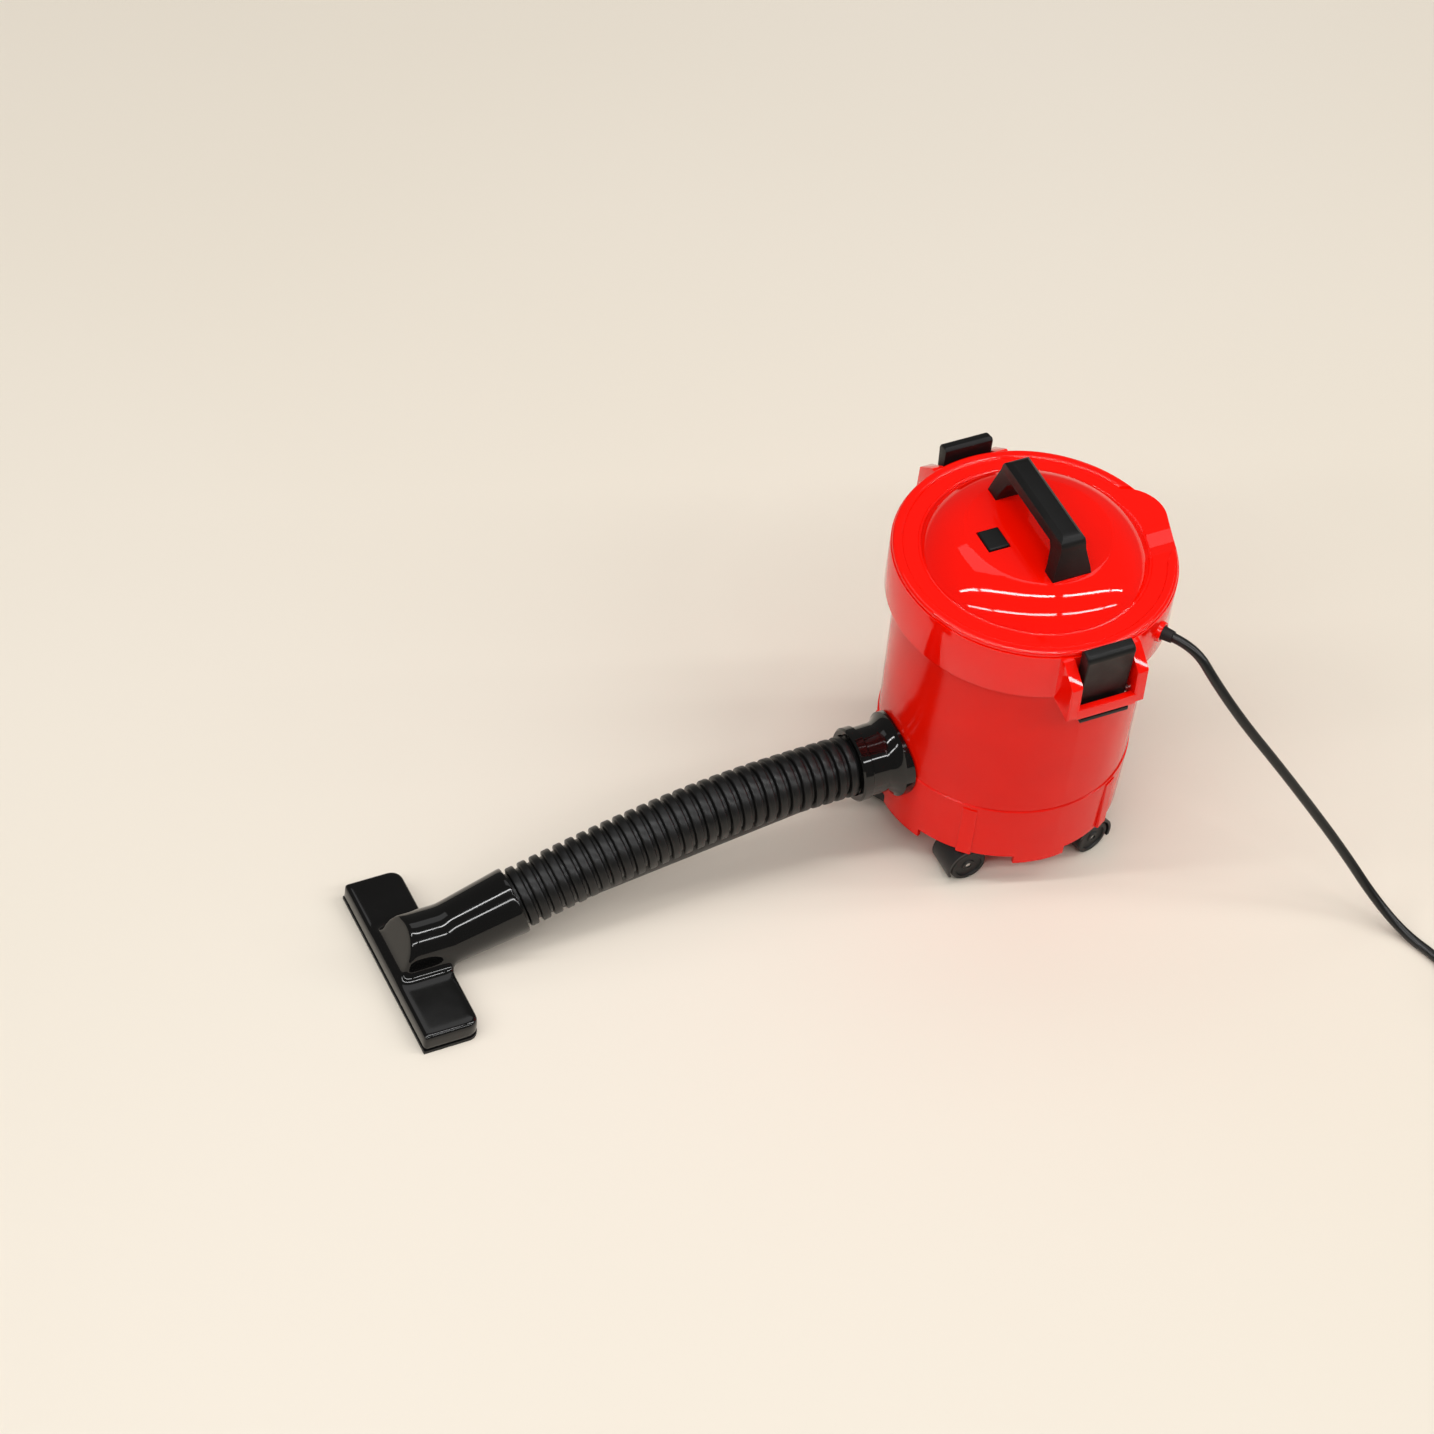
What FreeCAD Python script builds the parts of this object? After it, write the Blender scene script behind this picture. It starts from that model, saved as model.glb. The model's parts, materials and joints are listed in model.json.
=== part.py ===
"""Miniature USB desktop drum vacuum cleaner, one STEP file for each physical piece.

Millimetres, +Z up.  The origin is on the desk under the drum's axis.  The hose leaves the
drum along -Y, the two latches are on +X and -X, and the exhaust hump is at +Y.
"""
import FreeCAD, Part
import math
import os

os.makedirs("parts", exist_ok=True)
V = FreeCAD.Vector
Z_AXIS = V(0, 0, 1)
ORIGIN = V(0, 0, 0)

# ---- driving dimensions ----
# drum and its base
DRUM_WALL = 1.2
DRUM_R_SEAM = 27.0            # outer radius just above the base ring
DRUM_R_RIM = 27.65            # outer radius at the open rim
DRUM_FLOOR_Z = 17.2
DRUM_RIM_Z = 66.0
SPIGOT_R = 25.5               # lower part of the drum, which sits inside the base ring
SEAM_Z = 24.2
BASE_R_TOP = 27.25
BASE_R_LOW = 26.7
BASE_LIP_Z = 7.0
DECK_Z = 9.5                  # underside of the caster deck and top of the caster windows
DECK_T = 1.0
BASE_SCREW_R = 12.0
BASE_SCREW_AZ = (90, 210, 330)

# casters
CASTER_COUNT = 5
CASTER_FIRST_AZ = -42.0
CASTER_STEP_AZ = 360.0 / CASTER_COUNT
CASTER_PITCH_R = 22.5         # distance of the stems from the drum's axis
CASTER_YAW = (-90, 105, 150, -160, -60)   # way each caster points when the cleaner stands still
WHEEL_R = 4.1
WHEEL_W = 2.8
WHEEL_GAP = 0.3
TRAIL = 1.0                   # axle centre ahead of the stem
HOOD_T = 0.6
HOOD_HALF_W = 3.8
WEB_HALF_W = 0.6
AXLE_R = 0.6
STEM_R = 1.3
STEM_TOP_Z = 15.4
BOSS_TOP_Z = 14.6
WINDOW_HALF_AZ = 23.5

# hose inlet, hose and nozzle
INLET_Z = 23.4
PORT_R = 7.2
PORT_BORE_R = 6.1
COLLAR_BORE_R = 4.8
HOSE_R = 6.65
HOSE_BORE_R = 5.0
HOSE_ROUTE = [
    V(0, -31.4, 23.4), V(0, -51, 23.4), V(0, -70, 22.0), V(0.1, -88, 18.6),
    V(0.2, -104, 14.4), V(0.3, -118.5, 10.2),
]
CUFF_MOUTH_Y = -113.5
NECK_Y = -129.0
CUFF_R = 7.4
NECK_R = 6.6
HEAD_X = 0.8                  # middle of the nozzle head
HEAD_W = 45.0
HEAD_BACK_Y = -130.6
HEAD_FRONT_Y = -143.2
HEAD_H = 5.0
SOLE_T = 0.8

# head: band, lid, handle, switch
BAND_R = 30.1
BAND_T = 1.2
BAND_LOW_Z = 62.7
BAND_TOP_Z = 74.4
LID_R = 29.85
RIM_Z = 75.5
TOP_Z = 81.0                  # flat top of the dome
RING_Z = 75.1                 # flat ring between the dome and the rim's bead
TOP_R = 15.2
LID_T = 1.2
HANDLE_TOP_Z = 90.7
HANDLE_FOOT_X = 14.6
HANDLE_SCREW_X = 12.6
SWITCH_X = -0.9
SWITCH_Y = -10.2
SWITCH_HALF_X = 2.9
SWITCH_HALF_Y = 2.4
SWITCH_TOP_Z = 81.5
SWITCH_GAP = 0.15

# exhaust bulge at the back of the head
BULGE_X = -2.5
BULGE_Y = 23.5
BULGE_R = 8.3
BULGE_T = 1.2
BULGE_LOW_Z = 64.5
BULGE_FLOOR_Z = 69.6
FACET_X = (3.9, 7.2, 9.9)     # where the flat top starts to slope, is lowest, and is flat again
FACET_LOW_Z = 74.65
GRILLE_HALF_X = 3.6
GRILLE_Z = (70.2, 73.4)

# latches
PIN_X = 31.9
PIN_Z = 63.4
PIN_R = 0.8
LEVER_HALF_W = 5.6
ARM_IN_Y = 6.35
ARM_OUT_Y = 8.9
BRACKET_X = 35.2
BRACKET_LOW_Z = 61.6
BAR_TOP_Z = 64.3
NOSE_HALF_W = 2.4

# motor, fan and filter, which hang under the head
PLATE_Z = 66.9
PLATE_T = 1.2
PLATE_R = 28.6
LID_SCREW_R = 24.0
LID_SCREW_AZ = (15, 135, 255)
MOTOR_R = 10.2
MOTOR_LOW_Z = 48.0
MOTOR_TOP_Z = 71.0
MOTOR_SCREW_R = 12.6
SHAFT_R = 1.0
FAN_R = 15.5
FAN_Z = 42.5
FAN_H = 5.0
FAN_BLADES = 8
HOUSING_R = 19.5
HOUSING_LOW_Z = 40.7
CAGE_R = 17.0
CAGE_LOW_Z = 28.5
FOAM_R = 20.4

# USB cord
CORD_R = 1.1
CORD_AZ = 34.0
CORD_EXIT_Z = 69.5
RELIEF_END_R = 33.3
CORD_ROUTE = [
    V(27.648, 18.649, 69.5), V(31.959, 21.557, 69.5), V(36.6, 25.0, 62.6), V(41.4, 30.8, 53.0),
    V(45.7, 38.3, 42.3), V(50.0, 46.2, 30.5), V(55.0, 54.6, 17.5), V(61.2, 60.9, 6.5),
    V(69.0, 65.3, 1.1), V(77.5, 68.6, 1.1), V(88.0, 70.7, 1.1), V(98.379, 72.508, 1.1),
]
COIL_X = 96.0
COIL_Y = 86.0
COIL_R_IN = 9.05              # middle of the inner turns
COIL_R_OUT = 13.7             # middle of the outer turns
COIL_LAYERS = 4
TAIL_ROUTE = [
    V(98.379, 99.492, 7.7), V(92.0, 100.6, 7.4), V(86.0, 101.8, 5.4), V(80.5, 102.65, 3.9),
    V(75.73, 103.49, 3.8),
]
PLUG_AZ = 170.0
PLUG_Z = 3.8
PLUG_BODY = (19.0, 15.6, 7.6)
PLUG_SHELL = (12.0, 12.0, 4.5)
PLUG_RELIEF = 6.0

# USB leads inside the head
LEAD_R = 0.5


# ---- small tools ----
def outline(start, *steps):
    """Closed wire in the XZ plane.  A step is a point, or (middle, end) for an arc."""
    edges = []
    here = V(start[0], 0, start[1])
    first = here
    for step in steps:
        if isinstance(step[0], tuple):
            middle = V(step[0][0], 0, step[0][1])
            end = V(step[1][0], 0, step[1][1])
            edges.append(Part.Arc(here, middle, end).toShape())
        else:
            end = V(step[0], 0, step[1])
            edges.append(Part.makeLine(here, end))
        here = end
    if here.sub(first).Length > 1e-6:
        edges.append(Part.makeLine(here, first))
    return Part.Wire(edges)


def turned(wire):
    """Solid of revolution about Z from an outline of (radius, height)."""
    return Part.Face(wire).revolve(ORIGIN, Z_AXIS, 360)


def slab(wire, y0, y1):
    """An XZ outline pulled along Y."""
    face = Part.Face(wire)
    face.translate(V(0, y0, 0))
    return face.extrude(V(0, y1 - y0, 0))


def cylinder(r, z0, z1, x=0.0, y=0.0):
    return Part.makeCylinder(r, z1 - z0, V(x, y, z0))


def ring(r_out, r_in, z0, z1):
    return cylinder(r_out, z0, z1).cut(cylinder(r_in, z0 - 1, z1 + 1))


def block(x0, x1, y0, y1, z0, z1):
    return Part.makeBox(x1 - x0, y1 - y0, z1 - z0, V(x0, y0, z0))


def turn_z(shape, azimuth):
    """A copy turned about the drum's axis."""
    copy = shape.copy()
    copy.rotate(ORIGIN, Z_AXIS, azimuth)
    return copy


def polar(r, azimuth, z=0.0):
    angle = math.radians(azimuth)
    return V(r * math.cos(angle), r * math.sin(angle), z)


def at_polar(shape, r, azimuth):
    copy = shape.copy()
    copy.translate(polar(r, azimuth))
    return copy


def fuse_all(shapes):
    result = shapes[0].multiFuse(shapes[1:]) if len(shapes) > 1 else shapes[0]
    return result.removeSplitter()


def soften(shape, radius, keep):
    """Fillet the edges that the test picks."""
    edges = [edge for edge in shape.Edges if keep(edge)]
    return shape.makeFillet(radius, edges)


def edge_box(edge):
    return edge.BoundBox


def save(name, shape):
    solids = shape.Solids
    part = solids[0] if len(solids) == 1 else Part.makeCompound(solids)
    if not part.isValid():
        print("NOT VALID:", name)
    part.exportStep("parts/" + name + ".step")
    print("%-22s solids %d  volume %9.2f" % (name, len(solids), part.Volume))


def rounded_path(points):
    """Straight runs joined by tangent arcs, and the arcs' radii."""
    edges = []
    radii = []
    here = points[0]
    for before, corner, after in zip(points, points[1:], points[2:]):
        back = before.sub(corner)
        ahead = after.sub(corner)
        reach = 0.45 * min(back.Length, ahead.Length)
        back.normalize()
        ahead.normalize()
        half_turn = (math.pi - back.getAngle(ahead)) / 2
        radius = reach / math.tan(half_turn)
        inward = back.add(ahead)
        inward.normalize()
        middle = corner.add(inward.multiply(radius / math.cos(half_turn) - radius))
        start = corner.add(back.multiply(reach))
        end = corner.add(ahead.multiply(reach))
        edges.append(Part.makeLine(here, start))
        edges.append(Part.Arc(start, middle, end).toShape())
        radii.append(radius)
        here = end
    edges.append(Part.makeLine(here, points[-1]))
    return Part.Wire(edges), radii


def tube_along(points, radius, label=""):
    """Solid rod along a route of rounded corners."""
    path, radii = rounded_path(points)
    heading = points[1].sub(points[0])
    section = Part.Wire([Part.makeCircle(radius, points[0], heading)])
    rod = path.makePipeShell([section], True, False)
    if label:
        ratio = rod.Volume / (math.pi * radius ** 2 * path.Length)
        print("%s: length %.1f, arc radii %s, volume ratio %.4f" % (
            label, path.Length, " ".join("%.1f" % r for r in radii), ratio))
    return rod


# ---- drum and base ring (body: root) ----
def along_inlet(shape):
    """Turn a solid that was made along +Z so that +Z becomes -Y through the inlet's centre."""
    copy = shape.copy()
    copy.rotate(ORIGIN, V(1, 0, 0), 90)
    copy.translate(V(0, 0, INLET_Z))
    return copy


def drum():
    inner_low = SPIGOT_R - DRUM_WALL
    shell = turned(outline(
        (0, DRUM_FLOOR_Z), (SPIGOT_R - 1, DRUM_FLOOR_Z),
        ((SPIGOT_R - 0.3, DRUM_FLOOR_Z + 0.3), (SPIGOT_R, DRUM_FLOOR_Z + 1)),
        (SPIGOT_R, SEAM_Z + 0.1), (DRUM_R_SEAM, SEAM_Z + 0.1),
        (DRUM_R_RIM, DRUM_RIM_Z), (DRUM_R_RIM - DRUM_WALL, DRUM_RIM_Z),
        (DRUM_R_SEAM - DRUM_WALL, SEAM_Z + 1.3), (inner_low, SEAM_Z - 0.2),
        (inner_low, DRUM_FLOOR_Z + 1.2), (0, DRUM_FLOOR_Z + 1.2),
    ))
    port = along_inlet(cylinder(PORT_R, 23.3, 29)).common(cylinder(DRUM_R_SEAM, 0, 60))
    posts = [at_polar(cylinder(2.2, DECK_Z + DECK_T + 0.1, DRUM_FLOOR_Z + 0.2), BASE_SCREW_R, az)
             for az in BASE_SCREW_AZ]
    shell = fuse_all([shell, port] + posts)
    shell = shell.cut(along_inlet(cylinder(PORT_BORE_R, 20, 29)))
    for az in BASE_SCREW_AZ:
        shell = shell.cut(at_polar(cylinder(0.95, DECK_Z, DRUM_FLOOR_Z), BASE_SCREW_R, az))
    key_way = block(27.0, 29, -3, 3, 63.9, DRUM_RIM_Z + 1)
    return shell.cut(key_way).cut(turn_z(key_way, 180))


def base_ring():
    wall = 1.1
    deck_top = DECK_Z + DECK_T
    shell = turned(outline(
        (0, DECK_Z), (BASE_R_LOW - wall, DECK_Z), (BASE_R_LOW - wall, BASE_LIP_Z),
        (BASE_R_LOW - 0.3, BASE_LIP_Z), (BASE_R_LOW, BASE_LIP_Z + 0.3),
        (BASE_R_TOP, SEAM_Z - 0.25), (BASE_R_TOP - 0.25, SEAM_Z),
        (BASE_R_TOP - wall, SEAM_Z), (BASE_R_LOW - wall + 0.15, deck_top), (0, deck_top),
    ))
    stem_bore = cylinder(STEM_R + 0.08, DECK_Z - 1, BOSS_TOP_Z + 1)
    window = wedge(WINDOW_HALF_AZ, 24.0, 29.0, BASE_LIP_Z - 1, DECK_Z)
    rib = soften(block(26.0, 27.45, -1.7, 1.7, DECK_Z, SEAM_Z - 1.2), 0.4,
                 lambda e: edge_box(e).XMin > 27.4 and edge_box(e).ZLength > 5)
    for az in caster_azimuths():
        shell = fuse_all([shell, at_polar(cylinder(2.6, deck_top - 0.2, BOSS_TOP_Z), CASTER_PITCH_R, az),
                          turn_z(rib, az)])
        shell = shell.cut(at_polar(stem_bore, CASTER_PITCH_R, az)).cut(turn_z(window, az))
    for az in BASE_SCREW_AZ:
        shell = shell.cut(at_polar(cylinder(1.05, DECK_Z - 1, deck_top + 1), BASE_SCREW_R, az))
    return shell.cut(along_inlet(cylinder(PORT_R + 0.3, 15, 29)))


def wedge(half_azimuth, r_in, r_out, z0, z1):
    """A ring's sector centred on +X."""
    full = ring(r_out, r_in, z0, z1)
    reach = r_out + 5
    edge = polar(reach / math.cos(math.radians(half_azimuth)), half_azimuth)
    corners = [ORIGIN, V(edge.x, -edge.y, 0), edge, ORIGIN]
    face = Part.Face(Part.makePolygon(corners))
    face.translate(V(0, 0, z0 - 1))
    return full.common(face.extrude(V(0, 0, z1 - z0 + 2)))


def screw(shaft_r, head_r, head_h, length):
    """Screw pointing up, with the top of its head at z = 0 and a cross slot from below."""
    body = cylinder(head_r, -head_h, 0).fuse(cylinder(shaft_r, -0.1, length))
    slot = block(-head_r * 0.6, head_r * 0.6, -0.2, 0.2, -head_h - 1, -head_h + 0.4)
    return body.cut(slot).cut(turn_z(slot, 90)).removeSplitter()


def screws_at(places, shaft_r, head_r, head_h, length):
    solids = []
    for place in places:
        one = screw(shaft_r, head_r, head_h, length)
        one.translate(place)
        solids.append(one)
    return Part.makeCompound(solids)


# ---- casters (a swivelling body and a rolling body each) ----
def caster_azimuths():
    return [CASTER_FIRST_AZ + CASTER_STEP_AZ * i for i in range(CASTER_COUNT)]


def place_caster(shape, index):
    """Move a caster piece from its own frame, stem on Z and rolling along +X, to its place."""
    copy = turn_z(shape, CASTER_YAW[index])
    copy.translate(polar(CASTER_PITCH_R, caster_azimuths()[index]))
    return copy


def across(r, half_w, inner=0.0):
    """Disc about the axle, from one side of the caster to the other."""
    disc = Part.makeCylinder(r, 2 * half_w, V(TRAIL, -half_w, WHEEL_R), V(0, 1, 0))
    if inner:
        disc = disc.cut(Part.makeCylinder(inner, 2 * half_w + 2, V(TRAIL, -half_w - 1, WHEEL_R), V(0, 1, 0)))
    return disc


def caster_hood():
    inner = WHEEL_R + WHEEL_GAP
    outer = inner + HOOD_T
    arch = across(outer, HOOD_HALF_W, inner)
    far = TRAIL + outer + 1
    low_front = block(TRAIL - 1, far, -5, 5, -2, 2.4)
    low_back = block(TRAIL - outer - 1, TRAIL, -5, 5, -2, WHEEL_R + 2.2)
    arch = arch.cut(low_front).cut(low_back)
    web = across(inner + 0.1, WEB_HALF_W).cut(block(-9, 9, -5, 5, -1, 1.6))
    neck = cylinder(2.0, WHEEL_R + inner - 1.0, WHEEL_R + outer + 0.05).cut(
        across(inner, 5).cut(across(inner + 1, WEB_HALF_W)))
    stem = cylinder(STEM_R, WHEEL_R + inner - 0.5, STEM_TOP_Z - 0.6)
    tip = Part.makeCone(STEM_R + 0.35, STEM_R - 0.3, 0.5, V(0, 0, STEM_TOP_Z - 0.6))
    clear = across(WHEEL_R + WHEEL_GAP - 0.02, 5).cut(across(9, WEB_HALF_W))
    hood = fuse_all([arch, web, neck.common(across(outer + 0.1, 3)), stem, tip])
    hood = hood.cut(clear)
    return hood.cut(across(AXLE_R + 0.02, 5)).removeSplitter()


def caster_axle():
    return across(AXLE_R, WEB_HALF_W + 0.2 + WHEEL_W - 0.3)


def caster_rollers():
    """Two wheels, each with a dished outer face and a bore that runs on the axle."""
    first = WEB_HALF_W + 0.2
    last = first + WHEEL_W
    wheel = turned(outline(
        (AXLE_R + 0.06, first), (WHEEL_R - 0.4, first), (WHEEL_R, first + 0.4), (WHEEL_R, last - 0.5),
        ((WHEEL_R - 0.15, last - 0.15), (WHEEL_R - 0.5, last)), (WHEEL_R - 1.0, last),
        (WHEEL_R - 1.2, last - 0.35), (1.5, last - 0.35), (1.3, last - 0.1), (AXLE_R + 0.06, last - 0.1),
    ))
    wheel.rotate(ORIGIN, V(1, 0, 0), -90)
    wheel.translate(V(TRAIL, 0, WHEEL_R))
    return Part.makeCompound([wheel, wheel.mirror(ORIGIN, V(0, 1, 0))])


# ---- hose and nozzle ----
def hose_collar():
    body = turned(outline(
        (9.3, 24.0), (9.3, 27.9), ((8.15, 29.0), (7.6, 31.2)), (7.5, 34.7), (8.1, 35.1), (8.1, 36.9),
        (7.7, 37.3), (HOSE_R + 0.1, 37.3), (HOSE_R + 0.1, 31.4), (COLLAR_BORE_R, 31.1),
        (COLLAR_BORE_R, 23.6), (6.0, 23.6), (6.0, 30.0), (6.8, 29.9), (8.2, 27.4), (8.2, 24.0),
    ))
    body = along_inlet(body)
    spigot = along_inlet(ring(6.0, COLLAR_BORE_R, 23.6, 30.0))
    body = body.cut(cylinder(DRUM_R_SEAM + 0.45, 5, 60)).fuse(spigot)
    tab = along_inlet(soften(block(-2.6, 2.6, 6.9, 8.05, 30.9, 34.6), 0.3,
                             lambda e: edge_box(e).YMin > 8.0))
    tab.rotate(V(0, 0, INLET_Z), V(0, 1, 0), -135)
    return body.fuse(tab).cut(along_inlet(cylinder(HOSE_R + 0.1, 31.4, 40))).removeSplitter()


def hose_tube():
    outer = tube_along(HOSE_ROUTE, HOSE_R, "hose")
    return outer.cut(tube_along(HOSE_ROUTE, HOSE_BORE_R))


def hose_end_line():
    """Point and heading of the hose's last straight run."""
    heading = HOSE_ROUTE[-1].sub(HOSE_ROUTE[-2])
    heading.normalize()
    return HOSE_ROUTE[-1], heading


def on_hose_end(y):
    end, heading = hose_end_line()
    return end.add(V(heading).multiply((y - end.y) / heading.y))


def nozzle_body():
    mouth = on_hose_end(CUFF_MOUTH_Y)
    neck = on_hose_end(NECK_Y)
    heading = hose_end_line()[1]
    length = neck.sub(mouth).Length
    cuff = Part.makeCone(CUFF_R, NECK_R, length, mouth, heading)
    elbow = Part.makeSphere(NECK_R, neck)
    x0 = HEAD_X - HEAD_W / 2
    x1 = HEAD_X + HEAD_W / 2
    wings = block(x0, x1, HEAD_FRONT_Y, HEAD_BACK_Y, SOLE_T, HEAD_H)
    wings = soften(wings, 2.6, lambda e: edge_box(e).ZLength > 3 and edge_box(e).YMin > HEAD_BACK_Y - 1)
    wings = soften(wings, 0.7, lambda e: edge_box(e).ZMin > HEAD_H - 0.01)
    top = 6.9 + NECK_R - 1.4
    hump = Part.makeCylinder(NECK_R, 14.2, neck, V(0, -1, 0)).fuse(
        block(neck.x - NECK_R, neck.x + NECK_R, HEAD_FRONT_Y, NECK_Y - 2.5, SOLE_T, neck.z))
    slope = Part.Face(Part.makePolygon([
        V(0, HEAD_FRONT_Y, 1.4), V(0, HEAD_FRONT_Y + 5.6, top + 2.6), V(0, HEAD_FRONT_Y - 12, top + 2.6),
        V(0, HEAD_FRONT_Y - 12, 1.4), V(0, HEAD_FRONT_Y, 1.4)]))
    slope.translate(V(-20, 0, 0))
    hump = hump.cut(slope.extrude(V(45, 0, 0)))
    hump = hump.common(block(-20, 25, HEAD_FRONT_Y, NECK_Y + 5, SOLE_T, 20))
    body = fuse_all([cuff, elbow, wings, hump])
    body = body.common(block(-40, 40, HEAD_FRONT_Y, CUFF_MOUTH_Y + 8, SOLE_T, 30))
    socket_end = HOSE_ROUTE[-1].add(V(heading).multiply(0.4))
    body = body.cut(Part.makeCylinder(HOSE_R + 0.25, 12, socket_end.sub(V(heading).multiply(12)), heading))
    bore_length = neck.sub(socket_end).Length
    body = body.cut(Part.makeCylinder(COLLAR_BORE_R, bore_length, socket_end, heading))
    body = body.cut(Part.makeCylinder(COLLAR_BORE_R, 9.5, neck, V(0, -1, 0)))
    body = body.cut(Part.makeSphere(COLLAR_BORE_R, neck))
    body = body.cut(mouth_block(SOLE_T - 1, 4.2))
    return body.removeSplitter()


def mouth_block(z0, z1):
    """The suction slot across the nozzle head."""
    return block(HEAD_X - 18, HEAD_X + 18, -140.8, -134.4, z0, z1)


def nozzle_sole():
    x0 = HEAD_X - HEAD_W / 2
    x1 = HEAD_X + HEAD_W / 2
    plate = block(x0, x1, HEAD_FRONT_Y, HEAD_BACK_Y, 0, SOLE_T)
    plate = soften(plate, 2.6, lambda e: edge_box(e).ZLength > 0.5 and edge_box(e).YMin > HEAD_BACK_Y - 1)
    return plate.cut(mouth_block(-1, 2))


# ---- head: band with brackets, lid, handle, switch ----
def bracket():
    """U-shaped latch guard on the +X side of the band, with the arms' pin holes."""
    arm_side = outline(
        (28.2, 63.0), (34.6, BRACKET_LOW_Z), (BRACKET_X, BRACKET_LOW_Z + 0.6), (34.9, 70.3),
        (34.3, 71.0), (30.0, BAND_TOP_Z - 0.1), (28.2, BAND_TOP_Z - 0.1),
    )
    arms = [slab(arm_side, -ARM_OUT_Y, -ARM_IN_Y), slab(arm_side, ARM_IN_Y, ARM_OUT_Y)]
    bar = block(33.8, BRACKET_X, -ARM_IN_Y - 0.5, ARM_IN_Y + 0.5, BRACKET_LOW_Z + 0.1, BAR_TOP_Z)
    whole = fuse_all(arms + [bar])
    whole = soften(whole, 0.35, lambda e: edge_box(e).XMin > 34.5 and edge_box(e).ZLength > 5)
    return whole.cut(Part.makeCylinder(PIN_R + 0.02, 16.8, V(PIN_X, -8.4, PIN_Z), V(0, 1, 0)))


def relief_axis(r0, r1, radius_0, radius_1):
    """Cone or rod along the cord's exit line, between two distances from the drum's axis."""
    start = polar(r0, CORD_AZ, CORD_EXIT_Z)
    if radius_0 == radius_1:
        return Part.makeCylinder(radius_0, r1 - r0, start, polar(1, CORD_AZ))
    return Part.makeCone(radius_0, radius_1, r1 - r0, start, polar(1, CORD_AZ))


def bulge_tangent(rim_r):
    """Ends of the wall that runs from the bulge's round to the rim without a corner."""
    across = math.hypot(BULGE_X, BULGE_Y)
    angle = math.atan2(BULGE_Y, BULGE_X) - math.acos((rim_r - BULGE_R) / across)
    normal = V(math.cos(angle), math.sin(angle), 0)
    return V(BULGE_X, BULGE_Y, 0).add(normal * BULGE_R), normal * rim_r


def bulge_fill(rim_r, z0, z1):
    """Prism behind the tangent wall."""
    near, far = bulge_tangent(rim_r)
    corners = [V(BULGE_X, BULGE_Y, 0), near, far, V(13, 24, 0), V(5, 20, 0)]
    face = Part.Face(Part.makePolygon(corners + corners[:1]))
    face.translate(V(0, 0, z0))
    return face.extrude(V(0, 0, z1 - z0))


def head_band():
    band = ring(BAND_R, BAND_R - BAND_T, BAND_LOW_Z, BAND_TOP_Z)
    band = soften(band, 0.3, lambda e: edge_box(e).XLength > 59 and edge_box(e).ZMax < BAND_LOW_Z + 0.1)
    ledge = ring(BAND_R - BAND_T + 0.2, 27.4, 68.4, 69.4)
    one = bracket()
    boss = relief_axis(29.0, 31.0, 2.5, 2.2)
    bulge = cylinder(BULGE_R, BULGE_LOW_Z, BAND_TOP_Z, BULGE_X, BULGE_Y)
    bulge = bulge.fuse(bulge_fill(BAND_R, BULGE_LOW_Z, BAND_TOP_Z))
    band = fuse_all([band, ledge, one, turn_z(one, 180), boss, bulge])
    nose_window = block(27, 30.6, -2.8, 2.8, 63.9, 68.9)
    band = band.cut(nose_window).cut(turn_z(nose_window, 180))
    inside = cylinder(BAND_R - BAND_T, 60, 68.4).fuse(cylinder(27.4, 60, 75))
    inside = inside.fuse(cylinder(BAND_R - BAND_T, 69.4, 75))
    duct = cylinder(BULGE_R - BULGE_T, BULGE_FLOOR_Z, 75, BULGE_X, BULGE_Y)
    vent = block(BULGE_X - GRILLE_HALF_X, BULGE_X + GRILLE_HALF_X, 28.5, 34, GRILLE_Z[0], GRILLE_Z[1])
    band = band.cut(inside).cut(duct).cut(vent)
    return band.cut(relief_axis(26.0, 33.0, 1.72, 1.72)).removeSplitter()


def bulge_top():
    """The lid over the exhaust bulge, flush with its flat ring."""
    low = BAND_TOP_Z + 0.1
    round_part = cylinder(BULGE_R, low, RING_Z, BULGE_X, BULGE_Y)
    round_part = soften(round_part, 0.3, lambda e: edge_box(e).ZMin > RING_Z - 0.01)
    fill = bulge_fill(LID_R, low, RING_Z)
    fill = soften(fill, 0.3, lambda e: edge_box(e).ZMin > RING_Z - 0.01 and edge_box(e).YMax > 30)
    return round_part.fuse(fill).cut(cylinder(26, low - 1, RIM_Z + 1))


def bulge_recess():
    """What is cut from the rim's bead over the bulge, and for the shallow V beside it."""
    bead = cylinder(BULGE_R, RING_Z, RIM_Z + 1, BULGE_X, BULGE_Y)
    bead = bead.fuse(bulge_fill(LID_R + 0.5, RING_Z, RIM_Z + 1)).cut(cylinder(26, 70, 80))
    start, lowest, end = FACET_X
    side = outline((start, RING_Z), (lowest, FACET_LOW_Z), (end, RING_Z), (end, 77), (start, 77))
    return [bead, slab(side, 20, 34).cut(cylinder(24.3, 70, 80))]


def switch_block(margin, z0, z1):
    """Block around the switch's plan."""
    half_x = SWITCH_HALF_X + margin
    half_y = SWITCH_HALF_Y + margin
    return block(SWITCH_X - half_x, SWITCH_X + half_x, SWITCH_Y - half_y, SWITCH_Y + half_y, z0, z1)


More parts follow.
